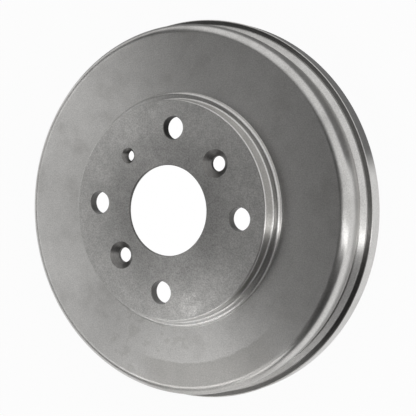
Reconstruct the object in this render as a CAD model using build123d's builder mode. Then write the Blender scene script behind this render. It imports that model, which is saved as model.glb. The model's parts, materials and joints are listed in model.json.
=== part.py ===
from build123d import *
import os

# Brake drum with a raised hub, cast in one piece of grey iron and turned all over.
# Millimetres. Origin on the axis, in the plane of the open rim that the drum rests on.
# +Z runs along the axle, from the open rim to the hub face that the wheel sits on.

# ---------------------------------------------------------------- driving dimensions

# overall
overall_height = 45.0           # open rim to hub face
braking_radius = 101.5          # friction surface that the shoes press on

# raised hub
hub_radius = 67.1               # hub face, out to its edge
hub_edge_chamfer = 0.5
hub_thickness = 6.0             # plate between the wheel and the axle flange
hub_wall_thickness = 5.0
hub_wall_height = 8.2           # hub face down to the shoulder
hub_taper = 0.5                 # how far the hub wall leans out over that height
shoulder_width = 4.4            # shoulder round the foot of the hub
shoulder_height = 2.3           # shoulder down to the web
shoulder_edge_chamfer = 1.3

# web, the flat ring between the hub and the outer wall
web_thickness = 5.5
web_edge_radius = 6.0           # large round from the web into the outer wall

# outer wall
wall_thickness = 12.5           # at its crown, just below the large round
crown_height = 0.5              # short upright stretch at the crown
waist_depth = 1.9               # how much thinner the wall is at its foot
bead_top = 14.8                 # open rim up to the foot of the waist
bead_proud = 1.6                # bead above the lip, measured out from the crown
bead_edge_chamfer = 1.9
lip_proud = 4.8                 # lip round the open rim, measured out from the crown
lip_height = 11.0
lip_edge_chamfer = 0.6

# inside of the drum
lead_in = 2.0                   # 45 degree chamfer that lets the shoes in
runout_width = 4.0              # groove that the grinding wheel runs out into
runout_depth = 0.8
recess_draft = 1.5              # how much wider the hub recess is at its mouth
recess_mouth_chamfer = 2.0

# pilot bore on the axle
bore_radius = 27.5
bore_chamfer = 0.3              # at the hub face
bore_land = 1.5                 # length of the cylinder that centres the drum

# holes through the hub
stud_count = 4
stud_circle_radius = 50.0
stud_hole_radius = 6.9
stud_hole_chamfer = 0.3
screw_circle_radius = 43.75     # retaining screws and jack screw share one circle
screw_hole_radius = 4.6         # clears an M8 countersunk screw
screw_head_radius = 8.5
jack_hole_radius = 3.4          # core hole of an M8 thread
jack_hole_chamfer = 1.4
countersink_angle = 90.0

# ---------------------------------------------------------------- radii and levels

recess_radius = hub_radius - hub_wall_thickness
recess_mouth_radius = recess_radius + recess_draft
shoulder_inner = hub_radius + hub_taper
shoulder_radius = shoulder_inner + shoulder_width
runout_radius = braking_radius + runout_depth
wall_radius = braking_radius + wall_thickness
bead_radius = wall_radius + bead_proud
lip_radius = wall_radius + lip_proud

hub_seat = overall_height - hub_thickness
shoulder_top = overall_height - hub_wall_height
web_top = shoulder_top - shoulder_height
web_underside = web_top - web_thickness
crown_foot = web_top - web_edge_radius - crown_height
runout_start = web_underside - runout_width
bore_land_end = overall_height - bore_chamfer - bore_land
bore_relief = bore_land_end - hub_seat  # 45 degrees, so as deep as it is wide

# ---------------------------------------------------------------- turned section

with BuildPart() as drum:
    with BuildSketch(Plane.XZ) as section:
        with BuildLine():
            # bore, hub face, the step down to the web, and the web
            hub_and_web = Polyline(
                (bore_radius, bore_land_end),
                (bore_radius, overall_height - bore_chamfer),
                (bore_radius + bore_chamfer, overall_height),
                (hub_radius - hub_edge_chamfer, overall_height),
                (hub_radius, overall_height - hub_edge_chamfer),
                (shoulder_inner, shoulder_top),
                (shoulder_radius - shoulder_edge_chamfer, shoulder_top),
                (shoulder_radius, shoulder_top - shoulder_edge_chamfer),
                (shoulder_radius, web_top),
                (wall_radius - web_edge_radius, web_top),
            )
            # the large round, the crown, and the long shallow arc of the waisted wall
            web_edge = TangentArc(
                hub_and_web @ 1, (wall_radius, web_top - web_edge_radius), tangent=hub_and_web % 1
            )
            crown = Line(web_edge @ 1, (wall_radius, crown_foot))
            waist = TangentArc(
                crown @ 1, (wall_radius - waist_depth, bead_top), tangent=crown % 1
            )
            # bead, lip and open rim
            bead_and_lip = Polyline(
                waist @ 1,
                (bead_radius - bead_edge_chamfer, bead_top),
                (bead_radius, bead_top - bead_edge_chamfer),
                (bead_radius, lip_height),
                (lip_radius - lip_edge_chamfer, lip_height),
                (lip_radius, lip_height - lip_edge_chamfer),
                (lip_radius, lip_edge_chamfer),
                (lip_radius - lip_edge_chamfer, 0),
                (braking_radius + lead_in, 0),
            )
            # friction surface, run-out groove, hub recess, and the relief behind the bore
            Polyline(
                bead_and_lip @ 1,
                (braking_radius, lead_in),
                (braking_radius, runout_start),
                (runout_radius, runout_start + runout_depth),
                (runout_radius, web_underside),
                (recess_mouth_radius + recess_mouth_chamfer, web_underside),
                (recess_mouth_radius, web_underside + recess_mouth_chamfer),
                (recess_radius, hub_seat),
                (bore_radius + bore_relief, hub_seat),
                hub_and_web @ 0,
            )
        make_face()
    revolve(axis=Axis.Z)

    # ------------------------------------------------------------ holes through the hub

    screw_angle = 180 / stud_count      # half way between two studs
    jack_angle = 3 * screw_angle        # half way between the next two

    with Locations(Plane.XY.offset(overall_height)):
        with PolarLocations(stud_circle_radius, stud_count):
            Hole(stud_hole_radius, hub_thickness)
        with PolarLocations(screw_circle_radius, 2, start_angle=screw_angle):
            CounterSinkHole(
                screw_hole_radius, screw_head_radius, hub_thickness, countersink_angle
            )
        with PolarLocations(screw_circle_radius, 1, start_angle=jack_angle):
            CounterSinkHole(
                jack_hole_radius, jack_hole_radius + jack_hole_chamfer, hub_thickness,
                countersink_angle,
            )

    # the mouths of the stud holes are broken at the hub face
    hub_face = drum.faces().sort_by(Axis.Z)[-1]
    stud_mouths = hub_face.edges().filter_by(
        lambda edge: abs(edge.radius - stud_hole_radius) < 0.01
    )
    chamfer(stud_mouths, stud_hole_chamfer)

drum.part.label = "brake_drum"

os.makedirs("parts", exist_ok=True)
export_step(drum.part, "parts/brake_drum.step")
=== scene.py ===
import json
import math

import bpy
from bpy.props import FloatProperty, FloatVectorProperty, IntProperty, PointerProperty
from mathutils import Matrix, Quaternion, Vector


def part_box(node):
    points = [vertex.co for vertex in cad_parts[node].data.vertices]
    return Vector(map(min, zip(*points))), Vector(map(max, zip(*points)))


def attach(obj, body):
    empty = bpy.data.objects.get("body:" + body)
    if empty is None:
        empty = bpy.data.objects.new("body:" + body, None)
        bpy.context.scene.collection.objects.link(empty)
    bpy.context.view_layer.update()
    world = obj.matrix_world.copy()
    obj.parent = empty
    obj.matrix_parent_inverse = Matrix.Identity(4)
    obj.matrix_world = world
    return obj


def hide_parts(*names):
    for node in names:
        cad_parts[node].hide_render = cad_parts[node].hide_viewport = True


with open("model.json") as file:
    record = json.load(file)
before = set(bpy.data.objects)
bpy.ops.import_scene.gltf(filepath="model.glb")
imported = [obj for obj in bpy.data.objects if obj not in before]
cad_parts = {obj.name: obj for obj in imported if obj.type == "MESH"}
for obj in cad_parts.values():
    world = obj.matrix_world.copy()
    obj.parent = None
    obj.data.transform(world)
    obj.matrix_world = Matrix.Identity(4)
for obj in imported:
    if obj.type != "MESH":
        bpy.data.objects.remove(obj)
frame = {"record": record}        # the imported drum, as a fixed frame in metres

bl_info = {
    "name": "Brake Drum",
    "version": (1, 0, 0),
    "blender": (4, 5, 0),
    "location": "3D View > Sidebar > Brake Drum",
    "description": "Builds a turned cast-iron brake drum and the studio that it lies in",
    "category": "Add Mesh",
}

# ---------------------------------------------------------------- the frame

MM = 0.001
TINY = 0.001 * MM        # points closer than this are one
WELD = 0.002 * MM        # points of a spun skin closer than this are one
NEAR = 0.01 * MM         # close enough to be the place looked for
NODE = "brake_drum"
BODY = "root"
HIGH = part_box(NODE)[1]
MOUNTS = {mount["name"]: mount for mount in frame["record"]["mounts"]}
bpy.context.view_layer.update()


def mount_size(mount, key):
    """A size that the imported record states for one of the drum's fits, in metres."""
    return MOUNTS[mount]["dims"][key] * MM


def length(name, description, default):
    """A length that a user may change, in metres."""
    return FloatProperty(name=name, description=description, default=default, unit="LENGTH", min=0)


def colour(name, description, default):
    """A colour that a user may change."""
    return FloatVectorProperty(
        name=name, description=description, default=default, subtype="COLOR", min=0, max=1
    )


# ---------------------------------------------------------------- what a user may change


class DrumSizes(bpy.types.PropertyGroup):
    """Sizes of the turned section and of the holes through the hub."""

    height: length("Height", "Open rim to hub face", HIGH.z)
    lip_radius: length("Lip radius", "Lip round the open rim", HIGH.x)
    lip_height: length("Lip height", "Open rim up to the ledge above the lip", 11.0 * MM)
    lip_round: length("Lip round", "Round on both edges of the lip", 0.6 * MM)
    wall_radius: length("Wall radius", "Outer wall at its crown", 114.0 * MM)
    crown_height: length("Crown height", "Upright stretch below the large round", 0.5 * MM)
    waist_depth: length("Waist depth", "How much thinner the wall is at its foot", 1.9 * MM)
    bead_top: length("Bead top", "Open rim up to the top of the bead", 14.8 * MM)
    bead_radius: length("Bead radius", "Bead between the wall and the lip", 115.6 * MM)
    bead_flank: length("Bead flank", "Width and height of the bead's sloping edge", 3.0 * MM)
    bead_round: length("Bead round", "Rounds at both ends of the bead's slope", 0.4 * MM)
    bead_foot: length("Bead foot", "Round between the bead and the lip", 0.3 * MM)

    web_height: length("Web height", "Open rim to the top of the web", 34.5 * MM)
    web_thickness: length("Web thickness", "Thickness of the flat ring", 5.5 * MM)
    web_round: length("Web round", "Large round from the web into the wall", 6.0 * MM)
    shoulder_radius: length("Shoulder radius", "Shoulder round the hub's foot", 72.0 * MM)
    shoulder_height: length("Shoulder height", "Web to the top of the shoulder", 2.3 * MM)
    shoulder_round: length("Shoulder round", "Round on the shoulder's edge", 1.9 * MM)
    shoulder_foot: length("Shoulder foot", "Round between shoulder and web", 0.3 * MM)

    hub_radius: length("Hub radius", "Hub face out to its edge", 67.1 * MM)
    hub_taper: length("Hub taper", "How far the hub wall leans out", 0.5 * MM)
    hub_round: length("Hub round", "Round on the edge of the hub face", 0.9 * MM)
    hub_foot: length("Hub foot", "Round between hub wall and shoulder", 1.2 * MM)
    hub_thickness: length("Hub thickness", "Plate that the studs pass", 6.0 * MM)
    recess_radius: length("Recess radius", "Recess behind the hub plate", 62.1 * MM)
    recess_draft: length("Recess draft", "How much wider its mouth is", 1.5 * MM)
    recess_round: length("Recess round", "Round in the corner of the recess", 2.0 * MM)
    recess_mouth: length("Recess mouth", "Round where the recess meets the web", 2.4 * MM)

    braking_radius: length(
        "Braking radius", "Friction surface", mount_size("friction_surface", "r_mm")
    )
    lead_in: length("Lead-in", "Chamfer that lets the shoes in", 2.0 * MM)
    runout_width: length("Run-out width", "Groove at the end of the friction surface", 4.0 * MM)
    runout_depth: length("Run-out depth", "Depth of that groove", 0.8 * MM)

    bore_radius: length("Bore radius", "Pilot bore on the axle", mount_size("pilot_bore", "r_mm"))
    bore_chamfer: length("Bore chamfer", "Chamfer at the hub face", 0.3 * MM)
    bore_land: length(
        "Bore land", "Cylinder that centres the drum", mount_size("pilot_bore", "length_mm")
    )
    stud_circle: length(
        "Stud circle", "Radius of the stud circle", mount_size("wheel_studs", "pcd_mm") / 2
    )
    stud_radius: length("Stud hole", "Radius of a stud hole", mount_size("wheel_studs", "hole_r_mm"))
    stud_chamfer: length("Stud hole chamfer", "Chamfer at the hub face", 0.3 * MM)
    screw_circle: length(
        "Screw circle", "Radius of the screws' circle", mount_size("retaining_screws", "pcd_mm") / 2
    )
    screw_radius: length(
        "Screw hole", "Radius of a screw hole", mount_size("retaining_screws", "hole_r_mm")
    )
    screw_head: length("Screw head", "Radius of a countersink at the hub face", 8.5 * MM)
    jack_radius: length(
        "Jack hole", "Radius at the crests of its thread", mount_size("jack_screw", "r_mm")
    )
    jack_chamfer: length("Jack hole chamfer", "Chamfer at the hub face", 1.4 * MM)
    thread_pitch: length("Thread pitch", "Pitch of the jack screw's thread", 1.25 * MM)
    thread_depth: length("Thread depth", "Crest to root", 0.6 * MM)
    body_steps: IntProperty(
        name="Body steps", description="Steps in a full turn of the body", default=360, min=48
    )
    hole_steps: IntProperty(
        name="Hole steps", description="Steps in a full turn of a hole", default=72, min=24
    )


class DrumFinish(bpy.types.PropertyGroup):
    """Colours and gloss of the drum's surfaces."""

    turned_colour: colour("Turned iron", "Web, walls and lip, finely turned", (0.58, 0.572, 0.558))
    face_colour: colour("Hub face iron", "Hub face, blasted to a mottled grey", (0.52, 0.513, 0.50))
    # The walls of the holes and the bore are painted this dark as the shade inside them.
    drilled_shade_colour: colour("Drilled iron", "Walls of the holes", (0.09, 0.088, 0.085))
    ground_colour: colour("Ground iron", "Friction surface", (0.54, 0.535, 0.526))
    cast_colour: colour("Cast iron", "Inside of the drum, left rougher", (0.34, 0.335, 0.328))
    stain_colour: colour("Stain", "Soft clouds on the turned iron", (0.40, 0.391, 0.375))
    turned_roughness: FloatProperty(
        name="Turned roughness", description="Roughness across the turning marks",
        default=0.28, min=0, max=1, subtype="FACTOR",
    )
    face_roughness: FloatProperty(
        name="Hub face roughness", description="Roughness of the blasted face",
        default=0.32, min=0, max=1, subtype="FACTOR",
    )
    turned_streak: FloatProperty(
        name="Turned streak", description="How far gloss spreads across the turning marks",
        default=0.60, min=0, max=1, subtype="FACTOR",
    )


class StudioSettings(bpy.types.PropertyGroup):
    """Camera and floor."""

    camera_azimuth: FloatProperty(
        name="Azimuth", description="Camera round the drum, from +X",
        default=math.radians(8.0), subtype="ANGLE",
    )
    camera_elevation: FloatProperty(
        name="Elevation", description="Camera above the hub face",
        default=math.radians(57.51), subtype="ANGLE",
    )
    camera_roll: FloatProperty(
        name="Roll", description="Turn of the camera about its own view",
        default=math.radians(-92.55), subtype="ANGLE",
    )
    camera_distance: length("Distance", "Camera from the middle of the hub face", 0.6398)
    camera_aim: FloatVectorProperty(
        name="Aim", description="Point of the hub face in the middle of the view",
        default=(28.5 * MM, 4.4 * MM), size=2, unit="LENGTH",
    )
    lens: FloatProperty(
        name="Lens", description="Focal length on a 36 mm sensor",
        default=91.6, min=1, unit="CAMERA",
    )
    floor_colour: colour("Floor", "Plain pale floor", (0.8, 0.8, 0.8))


# ---------------------------------------------------------------- modelling helpers


def start_fresh():
    """Leaves object mode with nothing selected, so that a new piece is shaped alone."""
    if bpy.context.object and bpy.context.object.mode != "OBJECT":
        bpy.ops.object.mode_set(mode="OBJECT")
    bpy.ops.object.select_all(action="DESELECT")


def only(piece):
    """Selects one piece and makes it active."""
    start_fresh()
    piece.select_set(True)
    bpy.context.view_layer.objects.active = piece


def select_vertices(piece, wanted):
    """In edit mode, selects the vertices whose place passes a test, and returns how many."""
    bpy.ops.mesh.select_mode(type="VERT")
    bpy.ops.mesh.select_all(action="DESELECT")
    bpy.ops.object.mode_set(mode="OBJECT")
    for vertex in piece.data.vertices:
        vertex.select = wanted(vertex.co)
    bpy.ops.object.mode_set(mode="EDIT")
    return sum(vertex.select for vertex in piece.data.vertices)


def draw_outline(name, corners):
    """Draws a closed outline in the XZ plane, corner by corner, from (radius, height, round)."""
    start_fresh()
    bpy.ops.mesh.primitive_plane_add(size=MM)
    piece = bpy.context.object
    piece.name = name
    piece.data.name = name
    bpy.ops.object.mode_set(mode="EDIT")
    bpy.ops.mesh.select_all(action="SELECT")
    bpy.ops.mesh.merge(type="CENTER")
    points = [Vector((radius, 0, height)) for radius, height, _ in corners]
    bpy.ops.transform.translate(value=points[0])
    for here, there in zip(points, points[1:] + points[:1]):
        bpy.ops.mesh.extrude_region_move(TRANSFORM_OT_translate={"value": there - here})
    bpy.ops.mesh.select_all(action="SELECT")
    bpy.ops.mesh.remove_doubles(threshold=TINY)
    for point, (_, _, size) in zip(points, corners):
        if size:
            round_corner(piece, point, size)
    return piece


SMALL_ROUND, LARGE_ROUND = 1 * MM, 4 * MM
ROUND_SEGMENTS = (4, 8, 14)     # of a small, a middling and a large round


def round_corner(piece, point, size):
    """Rounds one corner of an outline, with more segments the larger the round is."""
    if select_vertices(piece, lambda place: (place - point).length < NEAR) != 1:
        raise RuntimeError(f"no single corner at {tuple(point)}")
    segments = ROUND_SEGMENTS[(size >= SMALL_ROUND) + (size >= LARGE_ROUND)]
    bpy.ops.mesh.bevel(offset=size, segments=segments, affect="VERTICES")


def spin_outline(centre, steps):
    """Spins the outline that is being edited once round an upright axis, into a closed skin."""
    bpy.ops.mesh.select_all(action="SELECT")
    bpy.ops.mesh.spin(steps=steps, angle=2 * math.pi, center=centre, axis=(0, 0, 1))
    bpy.ops.mesh.select_all(action="SELECT")
    bpy.ops.mesh.remove_doubles(threshold=WELD)
    bpy.ops.mesh.dissolve_degenerate(threshold=TINY)
    bpy.ops.mesh.select_all(action="SELECT")
    bpy.ops.mesh.normals_make_consistent(inside=False)
    bpy.ops.object.mode_set(mode="OBJECT")


def give_material(piece, material):
    """Makes one material the whole of a piece's finish."""
    piece.data.materials.clear()
    piece.data.materials.append(material)


def cut(piece, cutter):
    """Takes a cutter's shape out of a piece, with the cutter's finish on the new walls."""
    only(piece)
    modifier = piece.modifiers.new("cut", "BOOLEAN")
    modifier.operation = "DIFFERENCE"
    modifier.solver = "EXACT"
    modifier.material_mode = "TRANSFER"
    modifier.object = cutter
    bpy.ops.object.modifier_apply(modifier=modifier.name)
    bpy.data.objects.remove(cutter)


# ---------------------------------------------------------------- the drum's shape


WAIST_STEPS = 10
STUD_COUNT = 4
SPARE = 1 * MM            # how far a cutter reaches past the hub plate on either side
THREAD_ROWS = 8           # rows of points in one turn of the thread
SHARP_ANGLE = math.radians(28)


def waist_points(s):
    """The long shallow arc of the waisted wall, which leaves the crown upright."""
    crown_foot = s.web_height - s.web_round - s.crown_height
    drop = crown_foot - s.bead_top
    arc_radius = (drop ** 2 + s.waist_depth ** 2) / (2 * s.waist_depth)
    turn = math.asin(drop / arc_radius)
    angles = [turn * step / WAIST_STEPS for step in range(WAIST_STEPS + 1)]
    return [
        (s.wall_radius - arc_radius * (1 - math.cos(a)), crown_foot - arc_radius * math.sin(a), 0)
        for a in angles
    ]


def drum_corners(s):
    """The turned section, from the bore over the outside and back through the inside."""
    hub_seat = s.height - s.hub_thickness
    shoulder_top = s.web_height + s.shoulder_height
    web_underside = s.web_height - s.web_thickness
    runout_start = web_underside - s.runout_width
    land_end = s.height - s.bore_chamfer - s.bore_land
    relief = land_end - hub_seat
    return [
        (s.bore_radius, land_end, 0),
        (s.bore_radius, s.height - s.bore_chamfer, 0),
        (s.bore_radius + s.bore_chamfer, s.height, 0),
        (s.hub_radius, s.height, s.hub_round),
        (s.hub_radius + s.hub_taper, shoulder_top, s.hub_foot),
        (s.shoulder_radius, shoulder_top, s.shoulder_round),
        (s.shoulder_radius, s.web_height, s.shoulder_foot),
        (s.wall_radius, s.web_height, s.web_round),
        *waist_points(s),
        (s.bead_radius - s.bead_flank, s.bead_top, s.bead_round),
        (s.bead_radius, s.bead_top - s.bead_flank, s.bead_round),
        (s.bead_radius, s.lip_height, s.bead_foot),
        (s.lip_radius, s.lip_height, s.lip_round),
        (s.lip_radius, 0, s.lip_round),
        (s.braking_radius + s.lead_in, 0, 0),
        (s.braking_radius, s.lead_in, 0),
        (s.braking_radius, runout_start, 0),
        (s.braking_radius + s.runout_depth, runout_start + s.runout_depth, 0),
        (s.braking_radius + s.runout_depth, web_underside, s.recess_round),
        (s.recess_radius + s.recess_draft, web_underside, s.recess_mouth),
        (s.recess_radius, hub_seat, s.recess_round),
        (s.bore_radius + relief, hub_seat, 0),
    ]


def turn_body(s, finishes):
    """Spins the section, and gives each zone of its surface the finish it has."""
    body = draw_outline("drum_body", drum_corners(s))
    spin_outline((0, 0, 0), s.body_steps)
    for material in finishes.values():
        body.data.materials.append(material)
    slots = {name: index for index, name in enumerate(finishes)}
    for face in body.data.polygons:
        face.material_index = slots[zone_of(face, s)]
    return body


def zone_of(face, s):
    """Which finish a face of the turned body has, from its place and the way it looks."""
    place, normal = face.center, face.normal
    radius = math.hypot(place.x, place.y)
    outward = (place.x * normal.x + place.y * normal.y) / radius
    slack = 0.02 * MM
    if place.z > s.height - slack:
        return "face"
    if abs(radius - s.braking_radius) < 0.1 * MM and outward < -0.9:
        return "ground"
    # The bore's land and chamfer take the drilled finish, which is painted dark as shade.
    if abs(radius - s.bore_radius) < s.bore_chamfer and outward < -0.5:
        return "drilled"
    inside = outward < -0.3 or normal.z < -0.5
    if inside and place.z > s.lead_in + slack and s.bore_radius + MM < radius:
        return "cast"
    return "turned"


def hole_cutter(s, name, centre, profile, material):
    """A turned plug to drill with, from (radius, height) points below and above the plate."""
    foot = profile[0][1]
    head = profile[-1][1]
    corners = [(0, foot, 0), *[(radius, height, 0) for radius, height in profile], (0, head, 0)]
    plug = draw_outline(
        name, [(centre.x + radius, height, size) for radius, height, size in corners]
    )
    bpy.ops.mesh.select_all(action="SELECT")
    bpy.ops.transform.translate(value=(0, centre.y, 0))
    spin_outline((centre.x, centre.y, 0), s.hole_steps)
    give_material(plug, material)
    return plug


def on_circle(radius, angle):
    """A point of the hub face, by its distance and direction from the axis."""
    return Vector((radius * math.cos(angle), radius * math.sin(angle), 0))


def chamfered(s, radius, chamfer):
    """Profile of a plug for a plain hole with a 45 degree chamfer at the hub face."""
    return [
        (radius, s.height - s.hub_thickness - SPARE),
        (radius, s.height - chamfer),
        (radius + chamfer + SPARE, s.height + SPARE),
    ]


def drill_holes(s, body, drilled):
    """Drills the stud holes and countersinks, and taps the jack screw's hole."""
    step = 2 * math.pi / STUD_COUNT
    stud_hole = chamfered(s, s.stud_radius, s.stud_chamfer)
    for number in range(STUD_COUNT):
        place = on_circle(s.stud_circle, number * step)
        cut(body, hole_cutter(s, "stud_plug", place, stud_hole, drilled))
    # the screws are half way between studs, opposite each other
    screw_hole = chamfered(s, s.screw_radius, s.screw_head - s.screw_radius)
    for number in (0.5, 2.5):
        place = on_circle(s.screw_circle, number * step)
        cut(body, hole_cutter(s, "screw_plug", place, screw_hole, drilled))
    cut(body, tap(s, on_circle(s.screw_circle, 1.5 * step), drilled))


def tap(s, centre, material):
    """A tap: a plug whose wall is a thread, made by waving its rows of points in and out."""
    foot = s.height - s.hub_thickness - SPARE
    top = s.height - s.jack_chamfer
    rows = round((top - foot) / s.thread_pitch * THREAD_ROWS)
    profile = [(s.jack_radius, foot + (top - foot) * row / rows) for row in range(rows + 1)]
    profile.append((s.jack_radius + s.jack_chamfer + SPARE, s.height + SPARE))
    plug = hole_cutter(s, "tap", centre, profile, material)
    for vertex in plug.data.vertices:
        out = Vector((vertex.co.x - centre.x, vertex.co.y - centre.y))
        if abs(out.length - s.jack_radius) < NEAR and vertex.co.z < top - NEAR:
            turns = vertex.co.z / s.thread_pitch - math.atan2(out.y, out.x) / (2 * math.pi)
            ridge = 1 - abs(2 * (turns % 1) - 1)
            grown = out * (1 + ridge * s.thread_depth / s.jack_radius)
            vertex.co.x = centre.x + grown.x
            vertex.co.y = centre.y + grown.y
    return plug


def smooth(piece):
    """Shades the rounds smooth and keeps flat faces flat and machined edges sharp."""
    only(piece)
    bpy.ops.object.shade_smooth_by_angle(angle=SHARP_ANGLE)
    modifier = piece.modifiers.new("flat faces lead", "WEIGHTED_NORMAL")
    modifier.mode = "FACE_AREA"
    modifier.keep_sharp = True
    bpy.ops.object.modifier_apply(modifier=modifier.name)


# ---------------------------------------------------------------- finishes


NOISE_SPAN = (0.3, 0.7)       # most of a pattern's values lie between these
ACROSS_MARKS = 0.25           # turn of the gloss, so that it spreads across the turning marks


class Nodes:
    """A short way to write a material's nodes."""

    def __init__(self, name="", tree=None):
        if tree:
            self.tree = tree
            return
        self.material = bpy.data.materials.new(name)
        self.material.use_nodes = True
        self.tree = self.material.node_tree
        self.tree.nodes.clear()
        self.shader = self.add("ShaderNodeBsdfPrincipled")
        output = self.add("ShaderNodeOutputMaterial")
        self.tree.links.new(self.shader.outputs["BSDF"], output.inputs["Surface"])

    def add(self, kind, **settings):
        node = self.tree.nodes.new(kind)
        for name, value in settings.items():
            setattr(node, name, value)
        return node

    def feed(self, socket, value):
        """Links an output to a socket, or sets the socket's own value."""
        if isinstance(value, bpy.types.NodeSocket):
            self.tree.links.new(value, socket)
        else:
            socket.default_value = value

    def maths(self, operation, first, second):
        node = self.add("ShaderNodeMath", operation=operation)
        self.feed(node.inputs[0], first)
        self.feed(node.inputs[1], second)
        return node.outputs[0]

    def point(self):
        """Place on the piece, in metres from the drum's own origin."""
        return self.add("ShaderNodeTexCoord").outputs["Object"]

    def noise(self, place, scale, detail=2.0, roughness=0.5):
        node = self.add("ShaderNodeTexNoise")
        self.feed(node.inputs["Vector"], place)
        self.feed(node.inputs["Scale"], scale)
        self.feed(node.inputs["Detail"], detail)
        self.feed(node.inputs["Roughness"], roughness)
        return node.outputs["Fac"]

    def remap(self, value, low, high, new_low, new_high):
        node = self.add("ShaderNodeMapRange", interpolation_type="SMOOTHSTEP")
        for name, number in (
            ("Value", value), ("From Min", low), ("From Max", high),
            ("To Min", new_low), ("To Max", new_high),
        ):
            self.feed(node.inputs[name], number)
        return node.outputs["Result"]

    def spread(self, pattern, low, high):
        """A pattern stretched between two values."""
        return self.remap(pattern, *NOISE_SPAN, low, high)

    def mix(self, factor, first, second):
        node = self.add("ShaderNodeMix", data_type="RGBA")
        self.feed(node.inputs["Factor"], factor)
        for name, value in (("A", first), ("B", second)):
            socket = [i for i in node.inputs if i.name == name and i.type == "RGBA"][0]
            if not isinstance(value, bpy.types.NodeSocket) and len(value) == 3:
                value = (*value, 1)
            self.feed(socket, value)
        return [o for o in node.outputs if o.type == "RGBA"][0]

    def metal(self, colour_value, shade, rough, streak=0.0):
        """Makes the finish bare metal, with its gloss spread by a streak."""
        inputs = self.shader.inputs
        self.feed(inputs["Base Color"], self.tinted(colour_value, shade))
        self.feed(inputs["Metallic"], 1.0)
        self.feed(inputs["Roughness"], rough)
        if streak:
            self.feed(inputs["Anisotropic"], streak)
            self.feed(inputs["Anisotropic Rotation"], ACROSS_MARKS)

    def bump(self, height, distance):
        """Gives the finish a relief of a given depth."""
        node = self.add("ShaderNodeBump")
        self.feed(node.inputs["Height"], height)
        self.feed(node.inputs["Distance"], distance)
        self.feed(node.inputs["Strength"], 1.0)
        self.feed(self.shader.inputs["Normal"], node.outputs["Normal"])

    def disc(self, place, inner, outer, inside, outside):
        """One value inside a circle round a place of the XY plane, another outside it."""
        apart = self.add("ShaderNodeVectorMath", operation="DISTANCE")
        flat = self.add("ShaderNodeVectorMath", operation="MULTIPLY")
        self.feed(flat.inputs[0], self.point())
        self.feed(flat.inputs[1], (1, 1, 0))
        self.feed(apart.inputs[0], flat.outputs[0])
        self.feed(apart.inputs[1], (*place, 0))
        return self.remap(apart.outputs["Value"], inner, outer, inside, outside)

    def shades(self, *ranges):
        """One brightness from several patterns, each with what it gives at its low and high."""
        total = 1.0
        for pattern, low, high in ranges:
            total = self.maths("MULTIPLY", self.spread(pattern, low, high), total)
        return total

    def tinted(self, colour_value, shade):
        """A colour made darker or lighter."""
        node = self.add("ShaderNodeVectorMath", operation="SCALE")
        self.feed(node.inputs[0], colour_value)
        self.feed(node.inputs["Scale"], shade)
        return node.outputs["Vector"]

    def wander(self, value, pattern, reach):
        """A length that a pattern moves to and fro, for an edge that isn't even."""
        shift = self.maths("MULTIPLY", self.maths("SUBTRACT", pattern, 0.5), reach)
        return self.maths("ADD", value, shift)

    def around_axis(self):
        """Distance from the axis, height, and the direction from the axis."""
        split = self.add("ShaderNodeSeparateXYZ")
        self.feed(split.inputs[0], self.point())
        x, y, z = split.outputs
        flat = self.add("ShaderNodeCombineXYZ")
        self.feed(flat.inputs["X"], x)
        self.feed(flat.inputs["Y"], y)
        size = self.add("ShaderNodeVectorMath", operation="LENGTH")
        self.feed(size.inputs[0], flat.outputs[0])
        radius = size.outputs["Value"]
        heading = self.add("ShaderNodeVectorMath", operation="NORMALIZE")
        self.feed(heading.inputs[0], flat.outputs[0])
        return radius, z, heading.outputs["Vector"]

    def turning_marks(self, pitch, wander):
        """Fine rings: noise that changes fast along the section and slowly round the axis."""
        radius, height, heading = self.around_axis()
        along = self.maths("SUBTRACT", radius, height)
        slow = self.add("ShaderNodeVectorMath", operation="SCALE")
        self.feed(slow.inputs[0], heading)
        self.feed(slow.inputs["Scale"], wander)
        rings = self.add("ShaderNodeTexNoise", noise_dimensions="4D")
        self.feed(rings.inputs["Vector"], slow.outputs["Vector"])
        self.feed(rings.inputs["W"], self.maths("DIVIDE", along, pitch))
        self.feed(rings.inputs["Scale"], 1.0)
        self.feed(rings.inputs["Detail"], 3.0)
        return rings.outputs["Fac"]


# Patterns of the finishes: repeats in a metre, detail and roughness of the noise.
TURNED_GRAIN = (1300, 3, 0.7)
TURNED_CLOUDS = (34, 4, 0.6)
TURNED_MOTTLE = (120, 4, 0.6)
FACE_GRAIN = (1150, 3, 0.75)
FACE_PATCHES = (210, 4, 0.65)
FACE_CLOUDS = (45, 3, 0.55)
DRILLED_GRAIN = (500, 3, 0.5)
CAST_GRAIN = (380, 5, 0.65)
# Turning marks: their pitch, and how much they change round the axis.
TURNED_MARKS = (0.9 * MM, 2)
GROUND_MARKS = (0.25 * MM, 3)
CAST_MARKS = (0.7 * MM, 2)
DRILLED_PITCH = 0.35 * MM

# Marks on the drum: the middle of each in the XY plane, and the radii between which it fades.
FILM_PLACE = (31 * MM, -95 * MM)     # a dried film that stops short of the web's edge
FILM_REACH = (34 * MM, 58 * MM)
FILM_EDGE = (93.0 * MM, 94.4 * MM)
FILM_WANDER = 5 * MM                 # how far that edge strays
FILM_STRENGTH = 0.75
DRIED_PLACE = (-8 * MM, -85 * MM)    # blotches beside it
DRIED_REACH = (25 * MM, 52 * MM)
DRIED_SPAN = (0.52, 0.62)            # values of the mottle between which a blotch begins
DRIED_STRENGTH = 0.45
CLOUD_SPAN = (0.5, 0.72)             # values of the clouds between which they stain
CLOUD_STRENGTH = 0.45
STAIN_ROUGHNESS = 0.03               # how much rougher a full stain is
WORN_PLACE = (22 * MM, -54 * MM)     # a paler patch on the hub face
WORN_REACH = (3 * MM, 11 * MM)
WORN_SPAN = (0.38, 0.62)
WORN_TONE = 1.25
FACE_SHADE_SPAN = (28 * MM, 62 * MM, 0.70, 1.0)   # painted shade: the hub face is darker towards the bore
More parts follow.
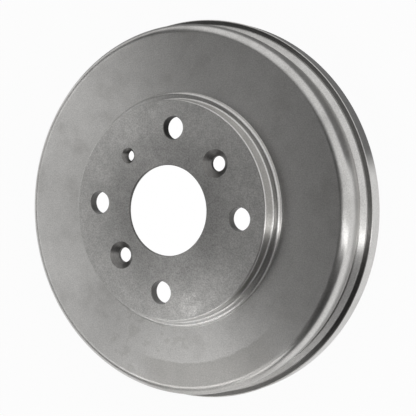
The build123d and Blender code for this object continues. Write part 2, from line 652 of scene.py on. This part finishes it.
# Painted shade in the step above the lip: the radii between which it comes and goes.
STEP_IN = (115.4 * MM, 116.0 * MM)
STEP_OUT = (118.0 * MM, 118.3 * MM)
STEP_SHADE_TONE = 0.36
SINK_SLOPE = (0.3, 0.6)              # how far up a face looks, from a hole's wall to a countersink
SINK_LIGHT_TONE = 2.3                      # painted light: a countersink, which faces up, is painted paler than a hole's wall


def turned_iron(f):
    """Grey iron, finely turned: faint rings, grain, soft stains, and painted shade that darkens the
    step above the lip.
    """
    n = Nodes("turned_iron")
    place = n.point()
    radius, _, _ = n.around_axis()
    grain = n.noise(place, *TURNED_GRAIN)
    clouds = n.noise(place, *TURNED_CLOUDS)
    mottle = n.noise(place, *TURNED_MOTTLE)
    bands = n.turning_marks(*TURNED_MARKS)
    film = n.maths(
        "MULTIPLY", n.disc(FILM_PLACE, *FILM_REACH, 1.0, 0.0),
        n.remap(n.wander(radius, mottle, FILM_WANDER), *FILM_EDGE, 0.0, 1.0),
    )
    dried = n.maths(
        "MULTIPLY", n.disc(DRIED_PLACE, *DRIED_REACH, 1.0, 0.0),
        n.remap(mottle, *DRIED_SPAN, 0.0, 1.0),
    )
    stain = n.maths(
        "MAXIMUM", n.maths("MULTIPLY", film, FILM_STRENGTH),
        n.maths("MULTIPLY", dried, DRIED_STRENGTH),
    )
    stain = n.maths("MAXIMUM", stain, n.remap(clouds, *CLOUD_SPAN, 0.0, CLOUD_STRENGTH))
    shade = n.shades(
        (grain, 0.86, 1.14), (bands, 0.99, 1.01), (mottle, 0.97, 1.03), (clouds, 1.03, 0.97)
    )
    # Painted shade: the step above the lip is darkened to this tone.
    step_shade = n.maths(
        "MULTIPLY", n.remap(radius, *STEP_IN, 0.0, 1.0), n.remap(radius, *STEP_OUT, 1.0, 0.0)
    )
    shade = n.maths("MULTIPLY", shade, n.remap(step_shade, 0.0, 1.0, 1.0, STEP_SHADE_TONE))
    rough = n.spread(bands, f.turned_roughness - 0.004, f.turned_roughness + 0.004)
    rough = n.maths("ADD", rough, n.maths("MULTIPLY", stain, STAIN_ROUGHNESS))
    n.metal(n.mix(stain, f.turned_colour, f.stain_colour), shade, rough, f.turned_streak)
    return n.material


def face_iron(f):
    """The hub face: mottled and grainy over its turning, with a paler worn patch, and painted shade
    that darkens it towards the bore.
    """
    n = Nodes("face_iron")
    place = n.point()
    grain = n.noise(place, *FACE_GRAIN)
    patches = n.noise(place, *FACE_PATCHES)
    clouds = n.noise(place, *FACE_CLOUDS)
    worn = n.maths(
        "MULTIPLY", n.disc(WORN_PLACE, *WORN_REACH, 1.0, 0.0),
        n.remap(patches, *WORN_SPAN, 0.2, 1.0),
    )
    shade = n.shades((grain, 0.76, 1.20), (patches, 0.93, 1.07), (clouds, 0.94, 1.06))
    shade = n.maths("MULTIPLY", shade, n.remap(worn, 0.0, 1.0, 1.0, WORN_TONE))
    # Painted shade: the hub face is darkened towards the bore.
    radius, _, _ = n.around_axis()
    shade = n.maths("MULTIPLY", shade, n.remap(radius, *FACE_SHADE_SPAN))
    rough = n.spread(grain, f.face_roughness - 0.04, f.face_roughness + 0.05)
    n.metal(tuple(f.face_colour), shade, rough, f.turned_streak)
    n.bump(grain, 0.02 * MM)
    return n.material


def drilled_shaded_iron(f):
    """Walls of the holes and of the bore, painted dark as the shade inside them, with countersinks
    painted paler where they face up, and the fine rings that a drill leaves.
    """
    n = Nodes("drilled_shaded_iron")
    split = n.add("ShaderNodeSeparateXYZ")
    n.feed(split.inputs[0], n.point())
    rings = n.add("ShaderNodeTexNoise", noise_dimensions="1D")
    n.feed(rings.inputs["W"], n.maths("DIVIDE", split.outputs["Z"], DRILLED_PITCH))
    n.feed(rings.inputs["Scale"], 1.0)
    rings = rings.outputs["Fac"]
    shade = n.shades((rings, 0.86, 1.12), (n.noise(n.point(), *DRILLED_GRAIN), 0.88, 1.08))
    # Painted light: faces that look up, the countersinks, are painted paler than the hole walls.
    up = n.add("ShaderNodeSeparateXYZ")
    n.feed(up.inputs[0], n.add("ShaderNodeTexCoord").outputs["Normal"])
    shade = n.maths("MULTIPLY", shade, n.remap(up.outputs["Z"], *SINK_SLOPE, 1.0, SINK_LIGHT_TONE))
    n.metal(tuple(f.drilled_shade_colour), shade, n.spread(rings, 0.36, 0.48))
    n.bump(rings, 0.02 * MM)
    return n.material


def ground_iron(f):
    """The friction surface, ground brighter, with fine rings."""
    n = Nodes("ground_iron")
    marks = n.turning_marks(*GROUND_MARKS)
    shade = n.spread(marks, 0.88, 1.08)
    n.metal(tuple(f.ground_colour), shade, n.spread(marks, 0.25, 0.36), streak=0.5)
    n.bump(marks, 0.01 * MM)
    return n.material


def cast_iron(f):
    """Inside of the web and the hub recess, turned coarsely over the cast skin."""
    n = Nodes("cast_iron")
    grain = n.noise(n.point(), *CAST_GRAIN)
    rings = n.turning_marks(*CAST_MARKS)
    shade = n.maths("MULTIPLY", n.spread(grain, 0.82, 1.12), n.spread(rings, 0.92, 1.06))
    n.metal(tuple(f.cast_colour), shade, n.spread(grain, 0.42, 0.58))
    n.bump(n.maths("ADD", grain, n.maths("MULTIPLY", rings, 0.5)), 0.06 * MM)
    return n.material


class DRUM_OT_build(bpy.types.Operator):
    """Turn, drill and finish the brake drum"""

    bl_idname = "drum.build"
    bl_label = "Build Brake Drum"
    bl_options = {"REGISTER", "UNDO"}

    def execute(self, context):
        sizes = context.scene.drum_sizes
        finish = context.scene.drum_finish
        finishes = {
            "turned": turned_iron(finish), "face": face_iron(finish),
            "ground": ground_iron(finish), "cast": cast_iron(finish),
            "drilled": drilled_shaded_iron(finish),
        }
        body = turn_body(sizes, finishes)
        drill_holes(sizes, body, finishes["drilled"])
        smooth(body)
        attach(body, BODY)
        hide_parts(NODE)
        return {"FINISHED"}


# ---------------------------------------------------------------- the stage


FLOOR_SIZE = 8.0
# The floor's white: radii between which it changes, and how white it is inside and outside.
DRUM_SHADOW = (0.100, 0.112, 1.0, 0.95)
# A darker round on the floor, to one side of the drum, which only the metal's gloss shows: its
# middle, the radii between which it fades, and how bright it is inside and outside.
SHADE_PLACE = (0.02, 0.215)
SIDE_SHADE = (0.19, 0.21, 0.2, 1.0)


def lay_floor(colour_value):
    """A wide pale floor, white to the camera, which keeps some of the drum's shadow."""
    start_fresh()
    bpy.ops.mesh.primitive_plane_add(size=FLOOR_SIZE)
    floor = bpy.context.object
    floor.name = "floor"
    n = Nodes("pale_floor")
    n.feed(n.shader.inputs["Base Color"], (*colour_value, 1))
    n.feed(n.shader.inputs["Roughness"], 0.9)
    path = n.add("ShaderNodeLightPath")
    seen = n.maths("MAXIMUM", path.outputs["Is Camera Ray"], path.outputs["Is Glossy Ray"])
    seen = n.maths("MAXIMUM", seen, path.outputs["Is Transmission Ray"])
    whiteness = n.maths("MULTIPLY", n.disc((0, 0), *DRUM_SHADOW), seen)
    shade = n.disc(SHADE_PLACE, *SIDE_SHADE)
    in_metal = n.maths("MULTIPLY", path.outputs["Is Glossy Ray"], n.maths("SUBTRACT", 1.0, shade))
    glow = n.add("ShaderNodeEmission")
    n.feed(glow.inputs["Strength"], n.maths("SUBTRACT", 1.0, in_metal))
    blend = n.add("ShaderNodeMixShader")
    n.feed(blend.inputs[0], whiteness)
    n.feed(blend.inputs[1], n.shader.outputs["BSDF"])
    n.feed(blend.inputs[2], glow.outputs["Emission"])
    output = [node for node in n.tree.nodes if node.type == "OUTPUT_MATERIAL"][0]
    n.feed(output.inputs["Surface"], blend.outputs[0])
    floor.data.materials.append(n.material)


# The room's pale wall: its first and last azimuth and its top in degrees, and its brightness.
WALL_START, WALL_END, WALL_TOP, WALL_GLOW = -9, 130, 66, 0.90
WALL_EDGE = 0.06        # half the width of its soft edges, as a sine
ROOM_DIM = 0.035        # brightness of all the rest of the room
# A pale band all round, low down: sines of the elevations between which it fades, its brightness
# below them and above them. The second is added to it close to the floor.
LOW_BAND = (0.16, 0.32, 0.75, 0.0)
HORIZON = (0.06, 0.12, 0.20, 0.0)
LIGHT_EDGE = (1.15, 0.85)    # a round light fades between these shares of its half-width
ROOM_LIGHTS = (
    # azimuth, elevation and half-width in degrees, brightness (1 is white)
    (165, 40, 12, 0.48),
    (182, 42, 13, 0.98),
    (205, 40, 10, 0.62),
    (210, 50, 12, 0.34),
    (226, 50, 10, 2.30),
    (243, 55, 8, 1.20),
    (255, 20, 18, 0.70),
    (270, 40, 9, 2.50),
)


def heading(azimuth, elevation):
    """The direction of a place in the room, seen from the drum, by two angles in degrees."""
    a, e = math.radians(azimuth), math.radians(elevation)
    return Vector((math.cos(a) * math.cos(e), math.sin(a) * math.cos(e), math.sin(e)))


def light_world():
    """A dim room with one pale wall, a pale low band and soft round lights."""
    world = bpy.data.worlds.new("studio")
    bpy.context.scene.world = world
    world.use_nodes = True
    n = Nodes(tree=world.node_tree)
    direction = n.add("ShaderNodeTexCoord").outputs["Generated"]
    split = n.add("ShaderNodeSeparateXYZ")
    n.feed(split.inputs[0], direction)
    top = math.sin(math.radians(WALL_TOP))
    wall = n.remap(split.outputs["Z"], top - WALL_EDGE, top + WALL_EDGE, WALL_GLOW, 0.0)
    for inward in (WALL_START + 90, WALL_END - 90):
        side = n.add("ShaderNodeVectorMath", operation="DOT_PRODUCT")
        n.feed(side.inputs[0], direction)
        n.feed(side.inputs[1], heading(inward, 0))
        beside = n.remap(side.outputs["Value"], -WALL_EDGE, WALL_EDGE, 0.0, 1.0)
        wall = n.maths("MULTIPLY", wall, beside)
    height = split.outputs["Z"]
    low = n.maths("ADD", n.remap(height, *LOW_BAND), n.remap(height, *HORIZON))
    strength = n.maths("ADD", n.maths("MAXIMUM", wall, low), ROOM_DIM)
    for azimuth, elevation, half_width, brightness in ROOM_LIGHTS:
        towards = n.add("ShaderNodeVectorMath", operation="DOT_PRODUCT")
        n.feed(towards.inputs[0], direction)
        n.feed(towards.inputs[1], heading(azimuth, elevation))
        edges = [math.cos(math.radians(half_width * part)) for part in LIGHT_EDGE]
        glow = n.remap(towards.outputs["Value"], *edges, 0.0, brightness)
        strength = n.maths("ADD", strength, glow)
    back = n.tree.nodes["Background"]
    n.feed(back.inputs["Color"], (1, 1, 1, 1))
    n.feed(back.inputs["Strength"], strength)


SENSOR = 36             # width in millimetres
CLIP_START = 0.01
LAMP_DISTANCE = 1.6
LAMPS = (
    # name, azimuth, elevation, then width and height in degrees seen from the drum, and
    # brightness (1 is white)
    ("strip", 351, 38, 3.5, 76, 4.5),
)


def hang_lamps(target):
    """A narrow softbox beside the drum, turned to face it."""
    for name, azimuth, elevation, width, height, brightness in LAMPS:
        away = heading(azimuth, elevation)
        start_fresh()
        bpy.ops.object.light_add(type="AREA", location=target + away * LAMP_DISTANCE)
        lamp = bpy.context.object
        lamp.name = name
        lamp.visible_camera = False
        lamp.rotation_euler = (-away).to_track_quat("-Z", "Y").to_euler()
        sides = [2 * LAMP_DISTANCE * math.tan(math.radians(angle) / 2) for angle in (width, height)]
        lamp.data.shape = "RECTANGLE"
        lamp.data.size, lamp.data.size_y = sides
        lamp.data.energy = brightness * math.pi * sides[0] * sides[1]


def set_camera(s, target):
    """The camera above the drum, turned about its view so that the near wall is on the right."""
    away = heading(math.degrees(s.camera_azimuth), math.degrees(s.camera_elevation))
    place = target + away * s.camera_distance
    aim = target + Vector((*s.camera_aim, 0))
    start_fresh()
    bpy.ops.object.camera_add(location=place)
    camera = bpy.context.object
    camera.name = "camera"
    look = (aim - place).to_track_quat("-Z", "Y") @ Quaternion((0, 0, 1), s.camera_roll)
    camera.rotation_mode = "QUATERNION"
    camera.rotation_quaternion = look
    camera.data.sensor_width = SENSOR
    camera.data.lens = s.lens
    camera.data.clip_start = CLIP_START
    bpy.context.scene.camera = camera


class DRUM_OT_stage(bpy.types.Operator):
    """Lay the floor, light the drum and set the camera"""

    bl_idname = "drum.stage"
    bl_label = "Set Stage"
    bl_options = {"REGISTER", "UNDO"}

    def execute(self, context):
        studio = context.scene.drum_studio
        hub_middle = Vector((0, 0, context.scene.drum_sizes.height))
        lay_floor(studio.floor_colour)
        light_world()
        hang_lamps(hub_middle)
        set_camera(studio, hub_middle)
        context.scene.view_settings.view_transform = "Standard"
        return {"FINISHED"}


class DRUM_PT_panel(bpy.types.Panel):
    """Sizes, finish and building steps of the brake drum"""

    bl_label = "Brake Drum"
    bl_idname = "DRUM_PT_panel"
    bl_space_type = "VIEW_3D"
    bl_region_type = "UI"
    bl_category = "Brake Drum"

    def draw(self, context):
        layout = self.layout
        layout.operator(DRUM_OT_build.bl_idname)
        layout.operator(DRUM_OT_stage.bl_idname)
        for settings in (
            context.scene.drum_sizes, context.scene.drum_finish, context.scene.drum_studio
        ):
            column = layout.column(align=True)
            for name in settings.__annotations__:
                column.prop(settings, name)


CLASSES = (DrumSizes, DrumFinish, StudioSettings, DRUM_OT_build, DRUM_OT_stage, DRUM_PT_panel)


def register():
    for cls in CLASSES:
        bpy.utils.register_class(cls)
    bpy.types.Scene.drum_sizes = PointerProperty(type=DrumSizes)
    bpy.types.Scene.drum_finish = PointerProperty(type=DrumFinish)
    bpy.types.Scene.drum_studio = PointerProperty(type=StudioSettings)


def unregister():
    del bpy.types.Scene.drum_studio
    del bpy.types.Scene.drum_finish
    del bpy.types.Scene.drum_sizes
    for cls in reversed(CLASSES):
        bpy.utils.unregister_class(cls)


def main():
    register()
    bpy.ops.drum.build()
    bpy.ops.drum.stage()


if __name__ == "__main__":
    main()
